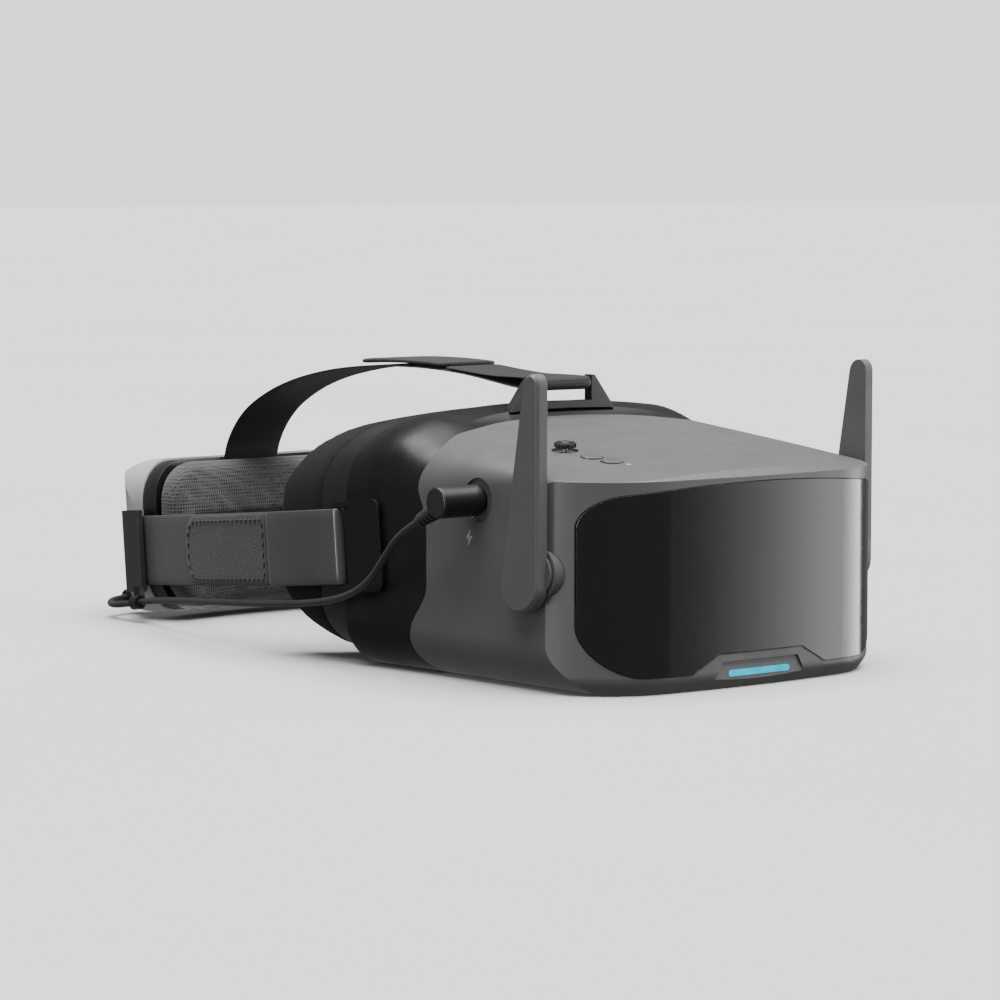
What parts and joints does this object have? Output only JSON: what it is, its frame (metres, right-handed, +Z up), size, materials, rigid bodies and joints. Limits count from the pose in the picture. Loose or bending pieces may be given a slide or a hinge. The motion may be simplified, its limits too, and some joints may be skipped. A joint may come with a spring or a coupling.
{
  "type": "fpv goggles",
  "caption": "Box-type video goggles with a wrap-round visor, folding side antennas, deck controls, a foam face mask, head straps and a battery box behind the head.",
  "frame": {"origin": "middle of the footprint, on the plane of the housing's flat underside", "axes": "visor faces -Y, the head strap and battery box run to +Y, +Z up, the wearer's right is -X"},
  "size_m": [0.1978, 0.3678, 0.1232],
  "materials": {
    "housing_grey": "satin",
    "visor_gloss": "gloss",
    "light_cyan": "gloss",
    "circuit_board": "satin",
    "shell_black": "satin",
    "frame_black": "satin",
    "foam_black": "matte",
    "rubber_black": "matte",
    "lens_clear": "gloss",
    "display_glass": "gloss",
    "module_can": "satin",
    "bare_steel": "satin",
    "button_black": "satin",
    "element_brass": "satin",
    "plug_black": "satin",
    "cable_black": "satin",
    "strap_grey": "satin",
    "strap_dark": "matte",
    "pad_mesh": "matte",
    "case_light_grey": "satin",
    "cell_sleeve": "gloss"
  },
  "bodies": {
    "goggles": {"front_housing": "housing_grey", "visor": "visor_gloss", "light_bar": "light_cyan", "led_board": "circuit_board", "rear_shell": "shell_black", "face_frame": "frame_black", "face_foam": "foam_black", "nose_flap": "rubber_black", "fresnel_lens": "lens_clear", "lens_frame": "frame_black", "light_hood": "frame_black", "display_panel": "display_glass", "display_frame": "frame_black", "main_board": "circuit_board", "receiver_module": "module_can", "card_slot": "bare_steel", "dc_socket": "frame_black", "control_board": "circuit_board", "key_switches": "frame_black", "joystick_base": "frame_black", "status_led": "light_cyan", "antenna_pivots": "housing_grey", "antenna_washers": "bare_steel", "dc_plug": "plug_black", "dc_plug_barrel": "bare_steel", "strain_relief": "rubber_black", "dc_lead": "cable_black", "strap_anchor_right": "frame_black", "strap_anchor_left": "frame_black", "side_strap_right": "strap_grey", "side_strap_left": "strap_grey", "strap_tab_right": "strap_grey", "strap_tab_left": "strap_grey", "top_bracket": "frame_black", "top_strap": "strap_dark", "top_strap_tab": "strap_dark", "head_pad": "pad_mesh", "battery_frame": "frame_black", "battery_case": "case_light_grey", "power_outlet": "plug_black", "battery_cells": "cell_sleeve", "cell_contacts": "bare_steel", "battery_board": "circuit_board", "rear_bracket_right": "frame_black", "rear_bracket_left": "frame_black", "cable_clip": "frame_black", "housing_screws": "bare_steel"},
    "antenna_right": {"antenna_blade_right": "housing_grey", "antenna_element_right": "element_brass", "antenna_clip_right": "bare_steel"},
    "antenna_left": {"antenna_blade_left": "housing_grey", "antenna_element_left": "element_brass", "antenna_clip_left": "bare_steel"},
    "joystick_press_plate": {"joystick_carrier": "frame_black"},
    "joystick_gimbal_ring": {"joystick_gimbal": "bare_steel"},
    "joystick_stick": {"joystick_stem": "bare_steel", "joystick_cap": "button_black"},
    "rear_button": {"button_rear": "housing_grey"},
    "front_button": {"button_front": "housing_grey"}
  },
  "joints": [
    {"name": "antenna_fold_right", "type": "hinge", "parent": "goggles", "child": "antenna_right", "pos_m": [-0.0875, -0.1495, 0.0466], "axis": [-1, 0, 0], "range_deg": [0, 35]},
    {"name": "antenna_fold_left", "type": "hinge", "parent": "goggles", "child": "antenna_left", "pos_m": [0.0875, -0.1495, 0.0466], "axis": [-1, 0, 0], "range_deg": [0, 90]},
    {"name": "joystick_press", "type": "slide", "parent": "goggles", "child": "joystick_press_plate", "axis": [0.075, 0.1286, -0.9889], "range_m": [0, 0.0004], "stiffness_N_per_m": 3000},
    {"name": "joystick_tilt_side", "type": "hinge", "parent": "joystick_press_plate", "child": "joystick_gimbal_ring", "pos_m": [-0.04759, -0.1213, 0.08442], "axis": [-0.0048, 0.9917, 0.1286], "range_deg": [-7, 7], "stiffness_Nm_per_rad": 0.02},
    {"name": "joystick_tilt_fore", "type": "hinge", "parent": "joystick_gimbal_ring", "child": "joystick_stick", "pos_m": [-0.04759, -0.1213, 0.08442], "axis": [0.9972, -0.0048, 0.075], "range_deg": [-7, 7], "stiffness_Nm_per_rad": 0.02},
    {"name": "rear_button_press", "type": "slide", "parent": "goggles", "child": "rear_button", "axis": [0.075, 0.1286, -0.9889], "range_m": [0, 0.0005], "stiffness_N_per_m": 3000},
    {"name": "front_button_press", "type": "slide", "parent": "goggles", "child": "front_button", "axis": [0.075, 0.1286, -0.9889], "range_m": [0, 0.0005], "stiffness_N_per_m": 3000}
  ]
}
